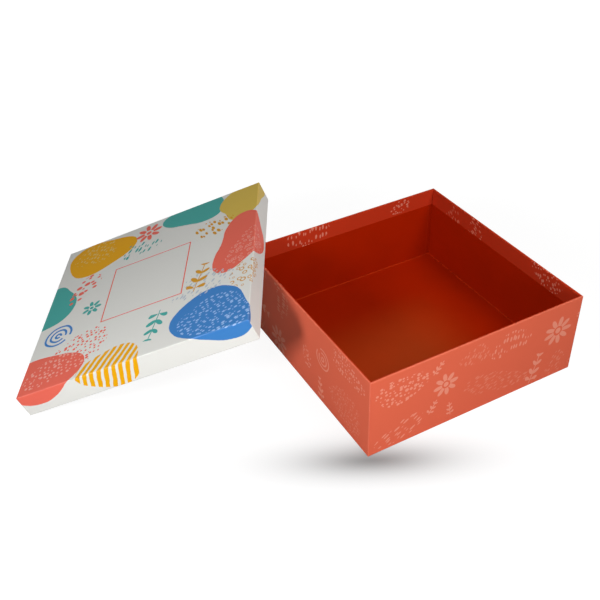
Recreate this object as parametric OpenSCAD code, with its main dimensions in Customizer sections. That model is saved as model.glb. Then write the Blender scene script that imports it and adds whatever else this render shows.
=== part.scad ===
// Square set-up gift box with a shallow lift-off lid, taken off and leaning on the base.
// The base and the lid are built alike: a tray of lined board, scored and folded up from
// one blank, and one sheet of printed paper that covers the outside, folds over the rim
// and is turned in over the lining.

/* [Base] */
// Outer width of the base, along X
base_w = 250; // [160:5:400]
// Outer depth of the base, along Y
base_d = 250; // [160:5:400]
// Outer height of the base
base_h = 94; // [60:1:140]
// How far the base's sheet is turned in below the rim
base_turn_in = 20; // [10:1:40]

/* [Lid] */
// Outer height of the lid, from its plate to the open edge
lid_h = 26; // [24:1:60]
// How far the lid's sheet is turned in from its open edge
lid_turn_in = 15; // [8:1:20]
// Space between the base and the lid's inside on each side, when the lid is on
lid_gap = 0.5; // [0.2:0.1:3]

/* [Board and paper] */
// Thickness of the lined board
board_t = 2.0; // [1:0.1:3]
// Thickness of the printed sheet with its glue
paper_t = 0.3; // [0.15:0.05:0.5]
// Outer radius of every fold and rim edge, over the sheet
fold_r = 1.0; // [0.6:0.1:2]
// Inner radius of the lined fold between floor and wall
cove_r = 1.0; // [0.4:0.1:3]
// Open joint between two board walls at a corner
joint_gap = 0.2; // [0.1:0.05:0.8]
// Open mitre between two turned-in flaps at a corner
mitre_gap = 0.4; // [0.2:0.1:1.5]
// Width of the lap seam beside each upright corner
seam_w = 0.25; // [0.15:0.05:0.6]

/* [Leaning lid] */
// Turn of the leaning lid about the upright
lean_turn = -29; // [-40:1:-15]
// How far the base's corner reaches in under the lid, past its skirt
lean_in = 18; // [8:1:28]
// How far that corner lies to the side of the lid's middle
lean_side = 27; // [-40:1:60]
// Gap left where the lid rests, on the floor and on the rim
rest_gap = 0.1; // [0.05:0.05:0.3]

/* [Hidden] */
$fn = 32;
// Reach of a cutter past the face it cuts
over = 1;
// Board with the sheet on both faces
wall_t = board_t + 2 * paper_t;
// Share of half the wall that a rim edge may round off
round_share = 0.9;
edge_r = min(fold_r, round_share * wall_t / 2);
board_r = edge_r - paper_t;
// The lid slips over the base
lid_w = base_w + 2 * (wall_t + lid_gap);
lid_d = base_d + 2 * (wall_t + lid_gap);
// The lid stands on one skirt's edge and hangs the other one over the base's corner
lean_tilt = asin(base_h / (lid_w - wall_t));
edge_rise = edge_r * (sin(lean_tilt) + cos(lean_tilt) - 1);
lean_z = rest_gap - edge_rise;
corner_x = lid_w - wall_t - lean_in;
corner_reach = corner_x / cos(lean_tilt) - (base_h - lean_z) * tan(lean_tilt);
lean_x = -base_w / 2 - corner_reach * cos(lean_turn) + lean_side * sin(lean_turn);
lean_y = base_d / 2 - corner_reach * sin(lean_turn) - lean_side * cos(lean_turn);
// Depth of the lap seam
seam_depth = paper_t / 2;

// Rectangle with round corners, from circles and squares
module round_rect(w, h, r) {
    square([w - 2 * r, h], center = true);
    square([w, h - 2 * r], center = true);
    for (x = [-1, 1], y = [-1, 1])
        translate([x * (w / 2 - r), y * (h / 2 - r)]) circle(r);
}

// Profile in X and Z carried along Y, and one in Y and Z carried along X
module along_y(len) { rotate([90, 0, 0]) linear_extrude(len, center = true) children(); }
module along_x(len) { rotate([90, 0, 90]) linear_extrude(len, center = true) children(); }

// Block with every edge folded round, standing on z = 0
module folded_block(w, d, h, r) {
    translate([0, 0, h / 2]) intersection() {
        linear_extrude(h, center = true) round_rect(w, d, r);
        along_y(d) round_rect(w, h, r);
        along_x(w) round_rect(d, h, r);
    }
}

// Section of an opening between two walls from z0 to z1: its top edges
// are rounded off outwards and its lower ones are coved
module opening_section(w, z0, z1, top_r, low_r) {
    translate([-w / 2, z0 + low_r]) square([w, z1 - z0 - low_r]);
    translate([low_r - w / 2, z0]) square([w - 2 * low_r, z1 - z0]);
    for (side = [-1, 1]) translate([side * (w / 2 - low_r), z0 + low_r]) circle(low_r);
    translate([-w / 2 - top_r, z1]) square([w + 2 * top_r, over]);
    for (side = [0, 1]) mirror([side, 0]) difference() {
        translate([w / 2 - over, z1 - top_r]) square([top_r + over, top_r + over]);
        translate([w / 2 + top_r, z1 - top_r]) circle(top_r);
    }
}

// Opening of w by d, with its edges mitred at the corners
module opening(w, d, z0, z1, top_r, low_r) {
    intersection() {
        along_y(d + 4 * over) opening_section(w, z0, z1, top_r, low_r);
        along_x(w + 4 * over) opening_section(d, z0, z1, top_r, low_r);
    }
}

// Lined board, scored and folded up from one blank. The walls along X run
// through to the corners and the other two stand between them
module board_tray(w, d, h) {
    inner_w = w - 2 * (paper_t + board_t);
    inner_d = d - 2 * (paper_t + board_t);
    difference() {
        translate([0, 0, paper_t])
            folded_block(w - 2 * paper_t, d - 2 * paper_t, h - 2 * paper_t, board_r);
        opening(inner_w, inner_d, paper_t + board_t, h - paper_t, board_r, cove_r);
        for (x = [0, 1], y = [0, 1]) mirror([x, 0, 0]) mirror([0, y, 0])
            translate([inner_w / 2 - cove_r, inner_d / 2 - joint_gap, paper_t + board_t + cove_r])
                cube([board_t + paper_t + cove_r + over, joint_gap, h]);
    }
}

// Printed sheet round the board: floor, sides, rim and the flaps turned in
module paper_wrap(w, d, h, turn_in) {
    mouth_w = w - 2 * wall_t;
    mouth_d = d - 2 * wall_t;
    flap_z = h - turn_in;
    difference() {
        folded_block(w, d, h, edge_r);
        difference() {
            translate([0, 0, paper_t])
                folded_block(w - 2 * paper_t, d - 2 * paper_t, h - 2 * paper_t, board_r);
            opening(mouth_w + 2 * paper_t, mouth_d + 2 * paper_t, flap_z, h - paper_t, board_r, 0);
        }
        opening(mouth_w, mouth_d, flap_z - over, h, edge_r, 0);
        for (x = [0, 1], y = [0, 1]) mirror([x, 0, 0]) mirror([0, y, 0]) {
            flap_mitre(mouth_w / 2, mouth_d / 2, flap_z, h - 2 * edge_r);
            lap_seam(w / 2 - edge_r, d / 2, h);
        }
    }
}

// Diagonal slot that parts two turned-in flaps at an inner corner
module flap_mitre(x, y, z0, z1) {
    reach = paper_t * sqrt(2);
    translate([x, y, z0 - over]) rotate([0, 0, 45])
        translate([-reach, -mitre_gap / 2, 0]) cube([2 * reach, mitre_gap, z1 - z0 + over]);
}

// Fine groove where a side panel of the sheet ends over its neighbour's lap
module lap_seam(x, y, h) {
    translate([x - seam_w, y - seam_depth, -over]) cube([seam_w, seam_depth + over, h + 2 * over]);
}

// Turns a tray over and leans it from the floor to the base's rim
module leaning() {
    translate([lean_x, lean_y, lean_z]) rotate([0, 0, lean_turn]) rotate([0, -lean_tilt, 0])
        translate([lid_w / 2, 0, lid_h]) rotate([180, 0, 0]) children();
}

module base_tray() { color([0.52, 0.07, 0.02]) board_tray(base_w, base_d, base_h); }
module base_wrap() { color([0.86, 0.38, 0.27]) paper_wrap(base_w, base_d, base_h, base_turn_in); }
module lid_tray() { color([0.90, 0.89, 0.85]) leaning() board_tray(lid_w, lid_d, lid_h); }
module lid_wrap() { color([0.95, 0.95, 0.92]) leaning() paper_wrap(lid_w, lid_d, lid_h, lid_turn_in); }

base_tray();
base_wrap();
lid_tray();
lid_wrap();
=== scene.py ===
import math

import bpy
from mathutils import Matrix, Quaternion, Vector

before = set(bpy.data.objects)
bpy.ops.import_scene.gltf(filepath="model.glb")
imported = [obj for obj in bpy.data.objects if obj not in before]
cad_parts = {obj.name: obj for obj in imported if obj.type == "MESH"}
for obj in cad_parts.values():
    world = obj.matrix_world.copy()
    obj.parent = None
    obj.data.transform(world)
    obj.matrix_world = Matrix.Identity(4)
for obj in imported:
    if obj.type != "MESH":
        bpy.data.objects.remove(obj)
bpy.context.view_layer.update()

print("frame loaded:", ", ".join(sorted(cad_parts)))

cameraSetup = {
    "place": (-0.4359, -0.5876, 0.6104),
    "lookAt": (-0.0901, 0.0684, 0.0470),
    "roll": 1.9,          # degrees, clockwise as the photo is looked at
    "lens": 51.4,
    "clip": (0.02, 60),
}


def addCamera(setup):
    lens = bpy.data.cameras.new("camera")
    lens.lens = setup["lens"]
    lens.clip_start, lens.clip_end = setup["clip"]
    camera = bpy.data.objects.new("camera", lens)
    bpy.context.collection.objects.link(camera)
    place = Vector(setup["place"])
    aim = (Vector(setup["lookAt"]) - place).to_track_quat("-Z", "Y")
    camera.location = place
    camera.rotation_mode = "QUATERNION"
    camera.rotation_quaternion = aim @ Quaternion((0, 0, 1), math.radians(-setup["roll"]))
    bpy.context.scene.camera = camera


addCamera(cameraSetup)
print("camera placed")


def paint(red, green, blue):
    # screen colour, 0 to 255, as the linear colour that a shader takes
    parts = [v / 255 for v in (red, green, blue)]
    return tuple(v / 12.92 if v <= 0.04045 else ((v + 0.055) / 1.055) ** 2.4 for v in parts) + (1,)


def put(tree, kind, takes=None, **settings):
    # adds a node; takes maps a socket's name or number to a value or to another node's output
    made = tree.nodes.new(kind)
    for name, value in settings.items():
        setattr(made, name, value)
    for socket, value in (takes or {}).items():
        if isinstance(value, bpy.types.NodeSocket):
            tree.links.new(value, made.inputs[socket])
        else:
            made.inputs[socket].default_value = value
    return made


def calc(tree, operation, first, second=0.0, third=0.0, clamp=False):
    return put(tree, "ShaderNodeMath", {0: first, 1: second, 2: third},
               operation=operation, use_clamp=clamp).outputs[0]


def calcVector(tree, operation, first, second=(0, 0, 0), third=(0, 0, 0)):
    return put(tree, "ShaderNodeVectorMath", {0: first, 1: second, 2: third},
               operation=operation).outputs["Vector"]


def length(tree, vector):
    return put(tree, "ShaderNodeVectorMath", {0: vector}, operation="LENGTH").outputs["Value"]


def split(tree, vector):
    return put(tree, "ShaderNodeSeparateXYZ", {0: vector}).outputs


def join(tree, x, y, z=0.0):
    return put(tree, "ShaderNodeCombineXYZ", {0: x, 1: y, 2: z}).outputs[0]


def addSquares(tree, x, y):
    return calc(tree, "ADD", calc(tree, "MULTIPLY", x, x), calc(tree, "MULTIPLY", y, y))


def ramp(tree, value, low, high, bottom=0.0, top=1.0):
    return put(tree, "ShaderNodeMapRange", {0: value, 1: low, 2: high, 3: bottom, 4: top},
               interpolation_type="SMOOTHSTEP").outputs[0]


def choose(tree, share, under, over):
    # the first number where share is 0, and the second where it is 1
    return put(tree, "ShaderNodeMix", {0: share, 2: under, 3: over}).outputs[0]


def blend(tree, share, under, over, mode="MIX"):
    return put(tree, "ShaderNodeMix", {0: share, 6: under, 7: over},
               data_type="RGBA", blend_type=mode).outputs[2]


def inkEdge(tree, depth, sharpness):
    # mask of what lies inside an edge, from how deep inside it a point is
    return calc(tree, "MULTIPLY_ADD", depth, sharpness, 0.5, clamp=True)


def newGroup(name, takes, gives):
    group = bpy.data.node_groups.new(name, "ShaderNodeTree")
    for label, value in takes.items():
        kind = "NodeSocketFloat" if isinstance(value, (int, float)) else "NodeSocketVector"
        group.interface.new_socket(label, in_out="INPUT", socket_type=kind).default_value = value
    for label in gives:
        kind = "NodeSocketVector" if label == "Sheet" else "NodeSocketFloat"
        group.interface.new_socket(label, in_out="OUTPUT", socket_type=kind)
    return group, group.nodes.new("NodeGroupInput").outputs, group.nodes.new("NodeGroupOutput").inputs


def useGroup(tree, group, takes):
    return put(tree, "ShaderNodeGroup", takes, node_tree=group).outputs


def sheetUnfoldGroup():
    # lays the folded sheet flat: millimetres from its middle, out over the folds and the rim
    group, given, result = newGroup(
        "sheetUnfold",
        {"Point": (0, 0, 0), "Half Width": 125.0, "Half Depth": 125.0, "Height": 94.0, "Wall": 2.6},
        ["Sheet", "Inside", "Fold"])
    height, wall = given["Height"], given["Wall"]
    x, y, z = split(group, given["Point"])
    acrossX = calc(group, "SUBTRACT", given["Half Width"], calc(group, "ABSOLUTE", x))
    acrossY = calc(group, "SUBTRACT", given["Half Depth"], calc(group, "ABSOLUTE", y))
    edge = calc(group, "MINIMUM", acrossX, acrossY)
    onX = calc(group, "LESS_THAN", acrossX, acrossY)
    # the rim and the flaps lie in the upper part, within one and a half walls of the edge
    upper = calc(group, "GREATER_THAN", z, calc(group, "MULTIPLY", height, 0.4))
    nearEdge = calc(group, "LESS_THAN", edge, calc(group, "MULTIPLY", wall, 1.5))
    inWall = calc(group, "MULTIPLY", upper, nearEdge)
    # past the middle of the wall's thickness lies the turned-in flap, which runs down again
    pastMiddle = calc(group, "GREATER_THAN", edge, calc(group, "MULTIPLY", wall, 0.5))
    inside = calc(group, "MULTIPLY", inWall, pastMiddle)
    folded = calc(group, "SUBTRACT", calc(group, "MULTIPLY", height, 2.0), z)
    rise = choose(group, inside, z, folded)

    def outAlong(value, half, across):
        # the half width, the rise and, over the rim, the way across the wall
        start = choose(group, inWall, calc(group, "ABSOLUTE", value), calc(group, "ADD", half, across))
        return calc(group, "MULTIPLY", calc(group, "SIGN", value), calc(group, "ADD", start, rise))

    u = choose(group, onX, x, outAlong(x, given["Half Width"], acrossX))
    v = choose(group, onX, outAlong(y, given["Half Depth"], acrossY), y)
    group.links.new(join(group, u, v), result["Sheet"])
    group.links.new(inside, result["Inside"])
    # how near the closest fold is: an upright corner, the foot or the rim
    corner = calc(group, "MAXIMUM", acrossX, acrossY)
    foot = calc(group, "MAXIMUM", z, edge)
    rim = calc(group, "MAXIMUM", calc(group, "SUBTRACT", height, z), edge)
    nearest = calc(group, "MINIMUM", corner, calc(group, "MINIMUM", foot, rim))
    group.links.new(ramp(group, nearest, 1.6, 0.2), result["Fold"])
    return group


motifInputs = {"Sheet": (0, 0, 0), "Centre": (0, 0, 0), "Turn": 0.0, "Repeat": 1000.0}
halfTurn, fullTurn = 3.1416, 6.283          # radians


def newMotif(name, values):
    # group for one motif, with the sheet's point seen from the motif's own centre, turned its way
    group, given, result = newGroup(name, dict(motifInputs, **values), ["Mask"])
    half = calc(group, "MULTIPLY", given["Repeat"], 0.5)
    other = calc(group, "MULTIPLY", given["Repeat"], -0.5)
    moved = calcVector(group, "SUBTRACT", given["Sheet"], given["Centre"])
    moved = calcVector(group, "WRAP", moved, join(group, half, half, 1.0), join(group, other, other, -1.0))
    turn = calc(group, "RADIANS", given["Turn"])
    turned = put(group, "ShaderNodeVectorRotate", {"Vector": moved, "Angle": turn}, rotation_type="Z_AXIS")
    x, y = split(group, turned.outputs[0])[:2]
    return group, given, result["Mask"], x, y


def pebbleGroup():
    # a rounded uneven field of ink
    group, given, mask, x, y = newMotif(
        "pebble", {"Length": 40.0, "Width": 30.0, "Wobble": 0.1, "Phase": 0.0})
    x = calc(group, "DIVIDE", x, given["Length"])
    y = calc(group, "DIVIDE", y, given["Width"])
    angle = calc(group, "ARCTAN2", y, x)
    away = calc(group, "SQRT", addSquares(group, x, y))
    # the outline swings in and out two and three times on its way round
    phase = given["Phase"]
    two = calc(group, "SINE", calc(group, "MULTIPLY_ADD", angle, 2.0, phase))
    three = calc(group, "SINE", calc(group, "MULTIPLY_ADD", angle, 3.0, calc(group, "MULTIPLY", phase, 2.3)))
    waves = calc(group, "ADD", calc(group, "MULTIPLY", two, 0.7), three)
    reach = calc(group, "MULTIPLY_ADD", waves, given["Wobble"], 1.0)
    depth = calc(group, "MULTIPLY", calc(group, "SUBTRACT", reach, away), given["Width"])
    group.links.new(inkEdge(group, depth, 2.5), mask)
    return group


def dotsGroup():
    # scattered dots, drawn out into dashes where Stretch is over 1, or small rings where Hollow is 1
    group, given, mask, x, y = newMotif(
        "dots", {"Spacing": 4.0, "Size": 0.3, "Stretch": 1.0, "Scatter": 0.75, "Hollow": 0.0})
    cells = put(group, "ShaderNodeTexVoronoi", {
        "Vector": join(group, calc(group, "DIVIDE", x, given["Stretch"]), y),
        "Scale": calc(group, "DIVIDE", 1.0, given["Spacing"]),
        "Randomness": given["Scatter"]}, voronoi_dimensions="2D").outputs
    away = cells["Distance"]
    chance = put(group, "ShaderNodeSeparateColor", {0: cells["Color"]}).outputs[0]
    size = calc(group, "MULTIPLY", given["Size"], calc(group, "MULTIPLY_ADD", chance, 0.9, 0.5))
    full = inkEdge(group, calc(group, "SUBTRACT", size, away), 12.0)
    ring = inkEdge(group, calc(group, "SUBTRACT", away, calc(group, "MULTIPLY", size, 0.6)), 12.0)
    group.links.new(calc(group, "MULTIPLY", full, choose(group, given["Hollow"], 1.0, ring)), mask)
    return group


def linesGroup():
    # brushed lines side by side, straight or waved
    group, given, mask, x, y = newMotif(
        "lines", {"Spacing": 5.0, "Share": 0.5, "Wave": 0.0, "Wave Length": 20.0, "Unevenness": 0.3})
    brush = put(group, "ShaderNodeTexNoise", {"Vector": given["Sheet"], "Scale": 0.06, "Detail": 1.0},
                noise_dimensions="2D").outputs[0]
    angle = calc(group, "DIVIDE", calc(group, "MULTIPLY", x, fullTurn), given["Wave Length"])
    swing = calc(group, "MULTIPLY", given["Wave"], calc(group, "SINE", angle))
    row = calc(group, "DIVIDE", calc(group, "ADD", y, swing), given["Spacing"])
    row = calc(group, "MULTIPLY_ADD", calc(group, "SUBTRACT", brush, 0.5), given["Unevenness"], row)
    near = calc(group, "PINGPONG", row, 0.5)
    depth = calc(group, "SUBTRACT", calc(group, "MULTIPLY", given["Share"], 0.5), near)
    group.links.new(ramp(group, depth, -0.03, 0.03), mask)
    return group


def sprigGroup():
    # a stem with pairs of oval leaves
    group, given, mask, x, y = newMotif("sprig", {"Length": 36.0, "Pitch": 8.0, "Slant": 48.0})
    pitch = given["Pitch"]
    side = calc(group, "ABSOLUTE", y)
    along = calc(group, "DIVIDE", x, given["Length"])
    # how far past the foot of its own pair of leaves the point is, seen along and across the leaf
    part = calc(group, "FRACT", calc(group, "DIVIDE", x, pitch))
    step = calc(group, "SUBTRACT", calc(group, "MULTIPLY", part, pitch), calc(group, "MULTIPLY", pitch, 0.12))
    slant = calc(group, "RADIANS", given["Slant"])
    cosine, sine = calc(group, "COSINE", slant), calc(group, "SINE", slant)
    forward = calc(group, "ADD", calc(group, "MULTIPLY", step, cosine), calc(group, "MULTIPLY", side, sine))
    across = calc(group, "SUBTRACT",
                  calc(group, "MULTIPLY", side, cosine), calc(group, "MULTIPLY", step, sine))
    # leaves grow shorter towards the tip
    halfLeaf = calc(group, "MULTIPLY", pitch, calc(group, "MULTIPLY_ADD", along, -0.25, 0.56))
    a = calc(group, "DIVIDE", calc(group, "SUBTRACT", forward, halfLeaf), halfLeaf)
    b = calc(group, "DIVIDE", across, calc(group, "MULTIPLY", halfLeaf, 0.44))
    leaf = inkEdge(group, calc(group, "SUBTRACT", 1.0, addSquares(group, a, b)), 4.0)
    leaf = calc(group, "MULTIPLY", leaf, calc(group, "GREATER_THAN", along, 0.12))
    stem = inkEdge(group, calc(group, "SUBTRACT", 0.55, side), 3.0)
    span = calc(group, "MULTIPLY",
                calc(group, "GREATER_THAN", along, 0.0), calc(group, "LESS_THAN", along, 1.0))
    group.links.new(calc(group, "MULTIPLY", calc(group, "MAXIMUM", leaf, stem), span), mask)
    return group


def flowerGroup():
    # round petals about a small middle
    group, given, mask, x, y = newMotif("flower", {"Radius": 10.0, "Petals": 7.0})
    away = calc(group, "DIVIDE", calc(group, "SQRT", addSquares(group, x, y)), given["Radius"])
    halfPetals = calc(group, "MULTIPLY", given["Petals"], 0.5)
    angle = calc(group, "MULTIPLY", calc(group, "ARCTAN2", y, x), halfPetals)
    reach = calc(group, "POWER", calc(group, "ABSOLUTE", calc(group, "COSINE", angle)), 0.6)
    petal = inkEdge(group, calc(group, "SUBTRACT", reach, away), 9.0)
    petal = calc(group, "MULTIPLY", petal, calc(group, "GREATER_THAN", away, 0.34))
    middle = calc(group, "LESS_THAN", away, 0.2)
    group.links.new(calc(group, "MAXIMUM", petal, middle), mask)
    return group


def ringsGroup():
    # broken rings, one inside another
    group, given, mask, x, y = newMotif("rings", {"Radius": 20.0, "Spacing": 5.0, "Share": 0.4, "Part": 1.0})
    away = calc(group, "SQRT", addSquares(group, x, y))
    near = calc(group, "PINGPONG", calc(group, "DIVIDE", away, given["Spacing"]), 0.5)
    border = calc(group, "SUBTRACT", 0.5, calc(group, "MULTIPLY", given["Share"], 0.5))
    line = ramp(group, calc(group, "SUBTRACT", near, border), -0.04, 0.04)
    within = calc(group, "LESS_THAN", away, given["Radius"])
    turn = calc(group, "ABSOLUTE", calc(group, "ARCTAN2", y, x))
    arc = calc(group, "LESS_THAN", turn, calc(group, "MULTIPLY", given["Part"], halfTurn))
    group.links.new(calc(group, "MULTIPLY", line, calc(group, "MULTIPLY", within, arc)), mask)
    return group


def paperGroup():
    # fine grain of coated paper with slight clouding and scuffs
    group, given, result = newGroup(
        "paper", {"Point": (0, 0, 0), "Grain": 2.2, "Cloud": 0.02}, ["Height", "Tone", "Scuff"])
    point = given["Point"]
    drawnOut = calcVector(group, "MULTIPLY", point, (1.0, 0.12, 0.5))
    fine = put(group, "ShaderNodeTexNoise", {
        "Vector": point, "Scale": given["Grain"], "Detail": 4.0, "Roughness": 0.6}).outputs[0]
    cloud = put(group, "ShaderNodeTexNoise", {
        "Vector": point, "Scale": given["Cloud"], "Detail": 3.0}).outputs[0]
    worn = put(group, "ShaderNodeTexNoise", {
        "Vector": drawnOut, "Scale": 0.5, "Detail": 5.0, "Roughness": 0.7}).outputs[0]
    group.links.new(fine, result["Height"])
    group.links.new(ramp(group, cloud, 0.3, 0.7), result["Tone"])
    group.links.new(ramp(group, worn, 0.6, 0.75), result["Scuff"])
    return group


groups = {
    "unfold": sheetUnfoldGroup(), "pebble": pebbleGroup(), "dots": dotsGroup(), "lines": linesGroup(),
    "sprig": sprigGroup(), "flower": flowerGroup(), "rings": ringsGroup(), "paper": paperGroup(),
}
print("shader groups built:", len(groups))


def newMaterial(name):
    material = bpy.data.materials.new(name)
    material.use_nodes = True
    tree = material.node_tree
    return material, tree, tree.nodes["Principled BSDF"]


def localPoint(tree, place, turn):
    # object coordinates seen from the piece's own middle, in millimetres
    where = put(tree, "ShaderNodeTexCoord").outputs["Object"]
    return put(tree, "ShaderNodeMapping", {
        "Vector": where, "Location": place, "Rotation": [math.radians(a) for a in turn],
        "Scale": (0.001, 0.001, 0.001)}, vector_type="TEXTURE").outputs[0]


def brushEdge(tree, sheet, reach):
    # shifts the sheet's points a little, broadly and finely, so that edges look drawn by hand
    for scale, share in ((0.07, 1.0), (0.4, 0.35)):
        noise = put(tree, "ShaderNodeTexNoise", {"Vector": sheet, "Scale": scale, "Detail": 1.0},
                    noise_dimensions="2D").outputs["Color"]
        shift = calcVector(tree, "SUBTRACT", noise, (0.5, 0.5, 0.5))
        sheet = calcVector(tree, "MULTIPLY_ADD", shift, (reach * share, reach * share, 0), sheet)
    return sheet


def printOn(tree, sheet, colour, inks, layers, repeat):
    # a layer is an ink, its share, and one or more shapes: what all of them cover is printed
    for ink, share, *shapes in layers:
        mask = None
        for name, centre, turn, values in shapes:
            takes = dict(values, Sheet=sheet, Centre=(*centre, 0), Turn=float(turn), Repeat=repeat)
            drawn = useGroup(tree, groups[name], takes)["Mask"]
            mask = drawn if mask is None else calc(tree, "MULTIPLY", mask, drawn)
        colour = blend(tree, calc(tree, "MULTIPLY", mask, share), colour, paint(*inks[ink]))
    return colour


# both printed sheets are laminated alike
laminate = {
    "clouding": 0.08,
    "foldWearAndHighlight": (0.06, 0.34),          # painted highlight and wear: paler everywhere on the folds, and more where they are scuffed
    "roughness": 0.42,
    "roughGrain": 0.1,
    "roughScuff": 0.08,
    "bump": 0.00006,
    "brush": 1.2,          # millimetres that the ink's edges waver
}


def finishPaper(tree, shader, point, colour, fold, setup):
    paper = useGroup(tree, groups["paper"], {"Point": point})
    clouding = calc(tree, "MULTIPLY", paper["Tone"], laminate["clouding"])
    colour = blend(tree, clouding, colour, (0.5, 0.5, 0.5, 1), "SOFT_LIGHT")
    # the folds are paler: painted highlight along every fold as though its edge catches light, and wear where
    # scuffed
    least, more = laminate["foldWearAndHighlight"]
    worn = calc(tree, "MULTIPLY", fold, calc(tree, "MULTIPLY_ADD", paper["Scuff"], more, least))
    colour = blend(tree, worn, colour, paint(*setup["worn"]))
    tree.links.new(colour, shader.inputs["Base Color"])
    rough = calc(tree, "MULTIPLY_ADD", paper["Height"], laminate["roughGrain"], laminate["roughness"])
    rough = calc(tree, "MULTIPLY_ADD", paper["Scuff"], laminate["roughScuff"], rough)
    tree.links.new(rough, shader.inputs["Roughness"])
    addBump(tree, shader, paper["Height"], setup["grain"], laminate["bump"])
    setGloss(shader, setup)


def addBump(tree, shader, height, strength, distance):
    bump = put(tree, "ShaderNodeBump", {"Strength": strength, "Distance": distance, "Height": height})
    tree.links.new(bump.outputs[0], shader.inputs["Normal"])


def setGloss(shader, setup):
    shader.inputs["Specular IOR Level"].default_value = setup["gloss"]
    if "glossColour" in setup:
        shader.inputs["Specular Tint"].default_value = paint(*setup["glossColour"])


# layers read: ink, share, then shapes as (kind, centre on the sheet, turn in degrees, values)
coralWrap = {
    "ground": (225, 104, 76),
    # the turned-in flaps are the same paper as outside, coloured a deeper red as painted shade
    "inside": (195, 56, 29),
    "inks": {"pale": (240, 160, 136), "soft": (232, 136, 110)},
    "repeat": 240.0,          # millimetres after which the print comes again
    # paler colour of the folds, for wear and painted highlight
    "worn": (244, 190, 172),
    "grain": 0.25,
    "gloss": 0.012,
    "glossColour": (255, 190, 168),
    "layers": [
        ("pale", 0.68, ("dots", (0, 0), 8, {"Spacing": 4.3, "Size": 0.3, "Stretch": 1.15, "Scatter": 0.72}),
         ("pebble", (-90, 45), 5, {"Length": 28.0, "Width": 17.0, "Phase": 1.0})),
        ("pale", 0.62, ("dots", (0, 0), 35, {"Spacing": 3.8, "Size": 0.23, "Stretch": 3.0, "Scatter": 0.6}),
         ("pebble", (-88, 98), 14, {"Length": 27.0, "Width": 13.0, "Phase": 2.0})),
        ("pale", 0.68, ("flower", (-39, 62), 10, {"Radius": 14.0, "Petals": 8.0})),
        ("pale", 0.68, ("sprig", (-57, 93), 60, {"Length": 18.0, "Pitch": 6.0})),
        ("pale", 0.68, ("sprig", (-30, 106), 100, {"Length": 18.0, "Pitch": 5.8})),
        ("pale", 0.68, ("sprig", (-55, 43), 48, {"Length": 17.0, "Pitch": 5.6})),
        ("soft", 0.7, ("dots", (0, 0), 22, {"Spacing": 3.0, "Size": 0.23, "Stretch": 2.8, "Scatter": 0.85}),
         ("pebble", (24, 88), -14, {"Length": 44.0, "Width": 13.0, "Phase": 0.6})),
        ("soft", 0.75, ("dots", (0, 0), 62, {"Spacing": 3.4, "Size": 0.25, "Stretch": 2.2, "Scatter": 0.8}),
         ("pebble", (-5, 41), -10, {"Length": 18.0, "Width": 12.0, "Phase": 2.6})),
        ("pale", 0.62, ("dots", (0, 0), 84, {"Spacing": 3.8, "Size": 0.24, "Stretch": 2.6, "Scatter": 0.6}),
         ("pebble", (38, 44), 0, {"Length": 25.0, "Width": 14.0, "Phase": 3.0})),
        ("pale", 0.68, ("sprig", (70, 112), 76, {"Length": 38.0, "Pitch": 11.0, "Slant": 44.0})),
        ("pale", 0.68, ("flower", (98, 54), 40, {"Radius": 17.0, "Petals": 9.0})),
        ("soft", 0.7, ("dots", (0, 0), 50, {"Spacing": 3.2, "Size": 0.24, "Stretch": 2.4, "Scatter": 0.7}),
         ("pebble", (103, 99), 80, {"Length": 15.0, "Width": 13.0, "Phase": 1.0})),
        ("pale", 0.62,
         ("rings", (56, -41), 40, {"Radius": 15.0, "Spacing": 4.6, "Share": 0.36, "Part": 0.9})),
        ("pale", 0.62, ("dots", (0, 0), 0, {"Spacing": 4.0, "Size": 0.28, "Stretch": 1.1, "Scatter": 0.72}),
         ("pebble", (36, -86), 85, {"Length": 28.0, "Width": 13.0, "Phase": 0.4})),
        ("soft", 0.7, ("dots", (0, 0), 70, {"Spacing": 2.8, "Size": 0.24, "Stretch": 1.6}),
         ("pebble", (86, -84), 80, {"Length": 31.0, "Width": 20.0, "Phase": 5.0})),
        ("pale", 0.62, ("sprig", (111, -38), 188, {"Length": 27.0, "Pitch": 8.0, "Slant": 44.0})),
        ("pale", 0.62, ("dots", (0, 0), 88, {"Spacing": 4.4, "Size": 0.24, "Stretch": 2.4, "Scatter": 0.6}),
         ("pebble", (-48, -9), 0, {"Length": 26.0, "Width": 15.0, "Phase": 1.6})),
        ("pale", 0.62, ("dots", (0, 0), 30, {"Spacing": 3.6, "Size": 0.26, "Stretch": 1.3, "Scatter": 0.9}),
         ("pebble", (76, -9), 10, {"Length": 13.0, "Width": 9.0, "Phase": 2.2})),
        ("pale", 0.62, ("dots", (0, 0), 20, {"Spacing": 3.8, "Size": 0.25, "Stretch": 1.5}),
         ("pebble", (-10, -76), 80, {"Length": 22.0, "Width": 12.0, "Phase": 1.6})),
        ("pale", 0.68, ("flower", (-84, -72), 0, {"Radius": 21.0, "Petals": 9.0})),
        ("soft", 0.75,
         ("lines", (0, 0), -30, {"Spacing": 4.2, "Share": 0.32, "Wave": 1.2, "Wave Length": 15.0}),
         ("pebble", (-100, -42), 80, {"Length": 18.0, "Width": 13.0, "Wobble": 0.12, "Phase": 4.0})),
        ("pale", 0.68, ("sprig", (-44, -110), -75, {"Length": 40.0, "Pitch": 12.0})),
    ],
}


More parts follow.
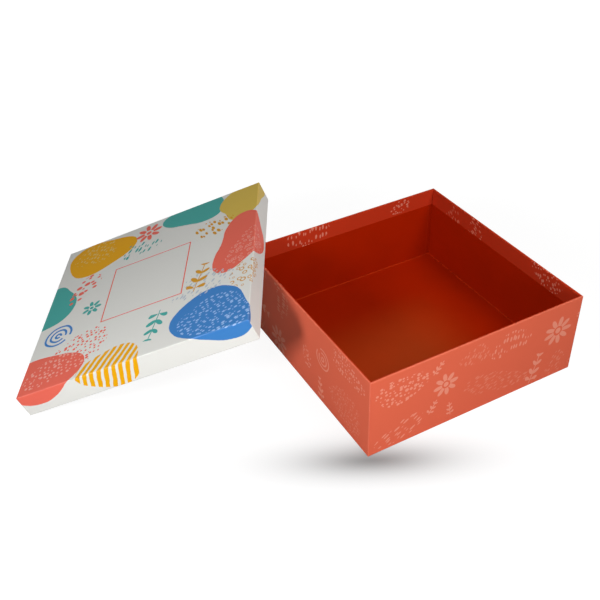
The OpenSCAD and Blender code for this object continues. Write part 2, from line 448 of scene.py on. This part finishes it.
def coralMaterial(setup):
    material, tree, shader = newMaterial("coralPrintedPaper")
    point = localPoint(tree, (0, 0, 0), (0, 0, 0))
    laid = useGroup(tree, groups["unfold"], {"Point": point})
    sheet = brushEdge(tree, laid["Sheet"], laminate["brush"])
    # the turned-in flaps take the darker inside colour: painted shade
    colour = blend(tree, laid["Inside"], paint(*setup["ground"]), paint(*setup["inside"]))
    colour = printOn(tree, sheet, colour, setup["inks"], setup["layers"], setup["repeat"])
    finishPaper(tree, shader, point, colour, laid["Fold"], setup)
    return material


# where the lid leans, as in the part's source: metres and degrees, with its height and width in millimetres
lidPlace = {
    "start": (-0.327074, 0.206141, -0.000199),
    "turn": (180.0, -21.756, -29.0),
    "height": 26.0,
    "width": 256.2,
}


def lidMiddle(place):
    # the middle of the lid's plate
    yaw, tilt = math.radians(place["turn"][2]), -math.radians(place["turn"][1])
    along = Vector((math.cos(yaw) * math.cos(tilt), math.sin(yaw) * math.cos(tilt), math.sin(tilt)))
    side = Vector((-math.sin(yaw), math.cos(yaw), 0))
    up = along.cross(side)
    return Vector(place["start"]) + along * place["width"] / 2000 + up * place["height"] / 1000


whiteWrap = {
    "ground": (234, 234, 229),
    "inks": {
        "coral": (240, 110, 92), "mustard": (242, 174, 8), "olive": (221, 190, 86), "blue": (65, 132, 203),
        "teal": (72, 172, 165), "ochre": (216, 156, 44), "sky": (160, 196, 240), "rose": (246, 170, 156),
        "mist": (196, 204, 212), "lemon": (240, 206, 120),
    },
    "repeat": 1000.0,          # more than the sheet's width, so nothing comes twice
    "frame": {"half": 47.5, "line": 1.4, "middle": (0.0, -2.0), "margin": 2.5},
    # paler colour of the folds, for wear and painted highlight
    "worn": (232, 228, 218),
    "grain": 0.2,
    "gloss": 0.06,
    "layers": [
        ("coral", 1.0, ("dots", (0, 0), 10, {"Spacing": 5.2, "Size": 0.26}),
         ("pebble", (-76, 88), 30, {"Length": 48.0, "Width": 27.0, "Phase": 2.0})),
        ("mustard", 1.0,
         ("pebble", (-78, -94), 10, {"Length": 43.0, "Width": 35.0, "Wobble": 0.1, "Phase": 0.7})),
        ("teal", 1.0,
         ("pebble", (48, -112), -14, {"Length": 38.0, "Width": 27.0, "Wobble": 0.12, "Phase": 2.4})),
        ("olive", 1.0,
         ("pebble", (112, -104), 52, {"Length": 40.0, "Width": 28.0, "Wobble": 0.14, "Phase": 3.2})),
        ("coral", 1.0,
         ("pebble", (114, -18), 76, {"Length": 48.0, "Width": 34.0, "Wobble": 0.14, "Phase": 1.5})),
        ("blue", 1.0,
         ("pebble", (88, 100), -28, {"Length": 48.0, "Width": 38.0, "Wobble": 0.1, "Phase": 0.2})),
        ("coral", 1.0,
         ("pebble", (-104, 108), 0, {"Length": 45.0, "Width": 36.0, "Wobble": 0.08, "Phase": 1.1})),
        ("teal", 1.0,
         ("pebble", (-122, -12), 78, {"Length": 40.0, "Width": 27.0, "Wobble": 0.1, "Phase": 4.0})),
        ("mustard", 1.0, ("lines", (0, 0), 66, {"Spacing": 7.4, "Share": 0.6}),
         ("pebble", (-23, 126), 0, {"Length": 34.0, "Width": 29.0, "Wobble": 0.07, "Phase": 2.0})),
        ("rose", 1.0, ("dots", (0, 0), 10, {"Spacing": 5.2, "Size": 0.26}),
         ("pebble", (-76, 88), 30, {"Length": 48.0, "Width": 27.0, "Phase": 2.0}),
         ("pebble", (-104, 108), 0, {"Length": 45.0, "Width": 36.0, "Wobble": 0.08, "Phase": 1.1})),
        ("sky", 1.0, ("dots", (0, 0), 25, {"Spacing": 3.9, "Size": 0.24, "Stretch": 1.6}),
         ("pebble", (92, 101), -24, {"Length": 39.0, "Width": 30.0, "Phase": 3.0})),
        ("rose", 1.0, ("dots", (0, 0), 12, {"Spacing": 5.4, "Size": 0.3, "Hollow": 1.0}),
         ("pebble", (122, -2), 70, {"Length": 31.0, "Width": 24.0, "Phase": 1.0}),
         ("pebble", (114, -18), 76, {"Length": 48.0, "Width": 34.0, "Wobble": 0.14, "Phase": 1.5})),
        ("lemon", 0.9, ("dots", (0, 0), 60, {"Spacing": 4.4, "Size": 0.24, "Stretch": 1.6}),
         ("pebble", (-84, -104), 10, {"Length": 30.0, "Width": 22.0, "Phase": 5.0})),
        ("teal", 1.0, ("dots", (0, 0), 70, {"Spacing": 4.8, "Size": 0.25, "Stretch": 2.8}),
         ("pebble", (-22, -76), 0, {"Length": 26.0, "Width": 16.0, "Phase": 1.0})),
        ("ochre", 1.0, ("dots", (0, 0), 118, {"Spacing": 5.0, "Size": 0.27, "Stretch": 2.4}),
         ("pebble", (74, -62), 30, {"Length": 24.0, "Width": 18.0, "Phase": 0.4})),
        ("coral", 1.0, ("dots", (0, 0), 20, {"Spacing": 7.8, "Size": 0.3, "Stretch": 1.3}),
         ("pebble", (-84, -34), 60, {"Length": 25.0, "Width": 15.0, "Phase": 2.0})),
        ("mist", 1.0, ("dots", (0, 0), 60, {"Spacing": 4.2, "Size": 0.24, "Stretch": 2.2}),
         ("pebble", (70, 42), 20, {"Length": 34.0, "Width": 22.0})),
        ("teal", 1.0, ("sprig", (26, 62), -100, {"Length": 46.0, "Pitch": 14.0, "Slant": 50.0})),
        ("ochre", 1.0, ("sprig", (62, 50), 78, {"Length": 46.0, "Pitch": 14.0, "Slant": 52.0})),
        ("coral", 1.0, ("flower", (-14, -106), 12, {"Radius": 17.0, "Petals": 8.0})),
        ("blue", 1.0,
         ("rings", (-100, 44), 150, {"Radius": 20.0, "Spacing": 6.2, "Share": 0.42, "Part": 0.92})),
        ("teal", 1.0, ("flower", (-66, 12), 0, {"Radius": 12.0, "Petals": 7.0})),
        ("ochre", 1.0, ("dots", (0, 0), 30, {"Spacing": 8.4, "Size": 0.3, "Hollow": 1.0}),
         ("pebble", (122, 46), 80, {"Length": 26.0, "Width": 17.0})),
    ],
}


def lidPrintMaterial(setup):
    material, tree, shader = newMaterial("whitePrintedPaper")
    point = localPoint(tree, lidMiddle(lidPlace), lidPlace["turn"])
    half = lidPlace["width"] / 2
    laid = useGroup(tree, groups["unfold"], {
        "Point": point, "Half Width": half, "Half Depth": half, "Height": lidPlace["height"]})
    sheet = brushEdge(tree, laid["Sheet"], laminate["brush"])
    colour = printOn(tree, sheet, paint(*setup["ground"]), setup["inks"], setup["layers"], setup["repeat"])
    colour = plainFrame(tree, laid["Sheet"], colour, setup)
    finishPaper(tree, shader, point, colour, laid["Fold"], setup)
    return material


def plainFrame(tree, sheet, colour, setup):
    # a thin square line round a bare field
    size = setup["frame"]
    moved = calcVector(tree, "SUBTRACT", sheet, (*size["middle"], 0))
    x, y = split(tree, calcVector(tree, "ABSOLUTE", moved))[:2]
    far = calc(tree, "MAXIMUM", x, y)
    field = calc(tree, "LESS_THAN", far, size["half"] + size["margin"])
    line = calc(tree, "COMPARE", far, size["half"], size["line"] / 2)
    colour = blend(tree, field, colour, paint(*setup["ground"]))
    return blend(tree, line, colour, paint(*setup["inks"]["coral"]))


# both linings have the same paper on their board
board = {
    "grainScale": 1.6,
    "roughGrain": 0.14,
    "bump": 0.00008,
}

# lengths in millimetres
redLining = {
    "colour": (173, 34, 2),
    "darker": 0.88,          # the clouds' colour against the lining's
    "clouding": 0.3,
    # a paler line along the floor's creases: painted highlight where the lining's cove catches light, and
    # wear of the scored lining; the lap's worn end takes the same colour
    "crease": (200, 74, 40),
    "creaseWearAndHighlight": 0.28,
    "creaseReach": (1.1, 0.3),          # from the fold, where its painted highlight and wear begin and where they are full
    "innerHalf": 122.7,          # from the middle to a wall's inner face
    "floorTop": 2.3,
    "lap": 4.8,          # the lining laps round a corner and ends this far along the other wall
    "lapLine": 0.25,          # half the width of its worn end
    "lapDepth": 0.6,          # how near that wall the worn end shows
    "lapWear": 0.3,
    "roughness": 0.42,
    "grain": 0.3,
    "gloss": 0.12,
    "glossColour": (255, 165, 60),
}


def liningMaterial(setup):
    material, tree, shader = newMaterial("redLinedBoard")
    point = localPoint(tree, (0, 0, 0), (0, 0, 0))
    x, y, z = split(tree, point)
    toX = calc(tree, "SUBTRACT", setup["innerHalf"], calc(tree, "ABSOLUTE", x))
    toY = calc(tree, "SUBTRACT", setup["innerHalf"], calc(tree, "ABSOLUTE", y))
    toFloor = calc(tree, "SUBTRACT", z, setup["floorTop"])
    near = calc(tree, "MAXIMUM", calc(tree, "MINIMUM", toX, toY), toFloor)
    darker = [c * setup["darker"] for c in setup["colour"]]
    paper, colour = cloudedLining(tree, point, setup["clouding"], setup["colour"], darker)
    # paler line along the creases, painted highlight and wear
    crease = ramp(tree, near, *setup["creaseReach"], 0.0, setup["creaseWearAndHighlight"])
    colour = blend(tree, crease, colour, paint(*setup["crease"]))
    lap = calc(tree, "COMPARE", toX, setup["lap"], setup["lapLine"])
    lap = calc(tree, "MULTIPLY", lap, calc(tree, "LESS_THAN", toY, setup["lapDepth"]))
    lap = calc(tree, "MULTIPLY", lap, setup["lapWear"])
    colour = blend(tree, lap, colour, paint(*setup["crease"]))
    finishLining(tree, shader, paper, colour, setup)
    return material


def cloudedLining(tree, point, clouding, light, dark):
    paper = useGroup(tree, groups["paper"], {"Point": point, "Grain": board["grainScale"]})
    share = calc(tree, "MULTIPLY", paper["Tone"], clouding)
    return paper, blend(tree, share, paint(*light), paint(*dark))


def finishLining(tree, shader, paper, colour, setup):
    tree.links.new(colour, shader.inputs["Base Color"])
    rough = calc(tree, "MULTIPLY_ADD", paper["Height"], board["roughGrain"], setup["roughness"])
    tree.links.new(rough, shader.inputs["Roughness"])
    addBump(tree, shader, paper["Height"], setup["grain"], board["bump"])
    setGloss(shader, setup)


whiteLining = {
    "colour": (236, 233, 224),
    "shade": (220, 216, 205),
    "clouding": 0.5,
    "roughness": 0.5,
    "grain": 0.3,
    "gloss": 0.1,
}


def whiteLiningMaterial(setup):
    material, tree, shader = newMaterial("whiteLinedBoard")
    point = localPoint(tree, lidMiddle(lidPlace), lidPlace["turn"])
    paper, colour = cloudedLining(tree, point, setup["clouding"], setup["colour"], setup["shade"])
    finishLining(tree, shader, paper, colour, setup)
    return material


def setAll(node, name, material):
    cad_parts[node].data.materials.clear()
    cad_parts[node].data.materials.append(material)
    print("finished:", node, "in", name)


setAll("base_wrap", "coral printed paper", coralMaterial(coralWrap))
setAll("lid_wrap", "white printed paper", lidPrintMaterial(whiteWrap))
setAll("base_tray", "red lining", liningMaterial(redLining))
setAll("lid_tray", "white lining", whiteLiningMaterial(whiteLining))

studio = {
    "floor": (190, 190, 190),
    "floorRadius": 9,
    "floorSides": 96,
    "floorDrop": 0.0002,          # keeps the floor clear of the base's underside
    # the camera sees less of what the box tints on the floor, and a neutral grey with it
    "seenFloor": (104, 104, 104),
    "seenGrey": 0.17,
    # how bright the camera sees the floor over its own shade, near and far, and where that changes
    "lift": (0.75, 1.0),
    "liftReach": (0.25, 0.8),
    # the oval in which the lift fades out: a painted shadow under the nearest corner
    "shade": {"place": (-0.1225, -0.1303, 0), "turn": -27.8, "reach": (0.072, 0.0200, 1), "edge": 1.6},
    "world": 0.01,
    "lampAim": (-0.06, 0.04, 0.06),
    "lamps": [
        {"from": (-0.833, -0.273, 0.481), "away": 0.769, "size": 0.15, "power": 2.56},
        {"from": (-0.243, -0.939, 0.243), "away": 0.575, "size": 0.2, "power": 0.69},
        {"from": (0.216, -0.609, 0.763), "away": 1.297, "size": 0.7, "power": 9.5},
        {"from": (0.654, 0.719, 0.233), "away": 1.543, "size": 0.8, "power": 4.9, "mirrored": False},
        {"from": (0.524, 0.607, 0.598), "away": 1.79, "size": 0.8, "power": 26.0,
         "colour": (255, 170, 80), "matte": False},
    ],
}


def seenRay(tree):
    rays = put(tree, "ShaderNodeLightPath").outputs
    mirrored = calc(tree, "MAXIMUM", rays["Is Glossy Ray"], rays["Is Transmission Ray"])
    return calc(tree, "MAXIMUM", rays["Is Camera Ray"], mirrored)


def addFloor(setup):
    bpy.ops.object.select_all(action="DESELECT")
    bpy.ops.mesh.primitive_circle_add(
        vertices=setup["floorSides"], radius=setup["floorRadius"], fill_type="NGON",
        location=(0, 0, -setup["floorDrop"]))
    floor = bpy.context.object
    floor.name = "floor"
    bpy.ops.object.transform_apply(location=True)
    floor.data.materials.append(floorMaterial(setup))


def floorMaterial(setup):
    # the floor is seen white, and a painted shadow takes the glow out of a soft oval under the nearest
    # corner, where its own shade shows
    material = bpy.data.materials.new("paleFloor")
    material.use_nodes = True
    tree = material.node_tree
    tree.nodes.remove(tree.nodes["Principled BSDF"])
    matte = put(tree, "ShaderNodeBsdfDiffuse", {"Color": paint(*setup["floor"])}).outputs[0]
    shade = setup["shade"]
    where = put(tree, "ShaderNodeTexCoord").outputs["Object"]
    oval = put(tree, "ShaderNodeMapping", {
        "Vector": where, "Location": shade["place"], "Rotation": (0, 0, math.radians(shade["turn"])),
        "Scale": shade["reach"]}, vector_type="TEXTURE").outputs[0]
    # painted shadow: the glow fades out within the oval, so the floor is darker there whatever the light
    fall = calc(tree, "POWER", length(tree, oval), shade["edge"])
    paintedShadow = calc(tree, "EXPONENT", calc(tree, "MULTIPLY", fall, -1.0))
    lift = ramp(tree, length(tree, where), *setup["liftReach"], *setup["lift"])
    strength = calc(tree, "MULTIPLY_ADD", calc(tree, "SUBTRACT", 1.0, paintedShadow), lift, setup["seenGrey"])
    glow = put(tree, "ShaderNodeEmission", {"Color": (1, 1, 1, 1), "Strength": strength}).outputs[0]
    grey = put(tree, "ShaderNodeBsdfDiffuse", {"Color": paint(*setup["seenFloor"])}).outputs[0]
    lifted = put(tree, "ShaderNodeAddShader", {0: grey, 1: glow}).outputs[0]
    seen = put(tree, "ShaderNodeMixShader", {0: seenRay(tree), 1: matte, 2: lifted}).outputs[0]
    tree.links.new(seen, tree.nodes["Material Output"].inputs["Surface"])
    return material


def addWorld(setup):
    world = bpy.data.worlds.new("studio")
    bpy.context.scene.world = world
    world.use_nodes = True
    tree = world.node_tree
    background = tree.nodes["Background"]
    tree.links.new(choose(tree, seenRay(tree), setup["world"], 1.0), background.inputs["Strength"])
    background.inputs["Color"].default_value = (1, 1, 1, 1)


def addLamps(setup):
    for number, lamp in enumerate(setup["lamps"], 1):
        light = bpy.data.lights.new(f"softbox{number}", "AREA")
        light.shape = "DISK"
        light.size = lamp["size"]
        light.energy = lamp["power"]
        light.color = paint(*lamp.get("colour", (255, 255, 255)))[:3]
        holder = bpy.data.objects.new(light.name, light)
        bpy.context.collection.objects.link(holder)
        direction = Vector(lamp["from"]).normalized()
        holder.location = Vector(setup["lampAim"]) + direction * lamp["away"]
        holder.rotation_mode = "QUATERNION"
        holder.rotation_quaternion = (-direction).to_track_quat("-Z", "Y")
        holder.visible_camera = False
        holder.visible_glossy = lamp.get("mirrored", True)
        holder.visible_diffuse = lamp.get("matte", True)


addFloor(studio)
addWorld(studio)
addLamps(studio)
bpy.context.scene.view_settings.view_transform = "Standard"
print("studio set")
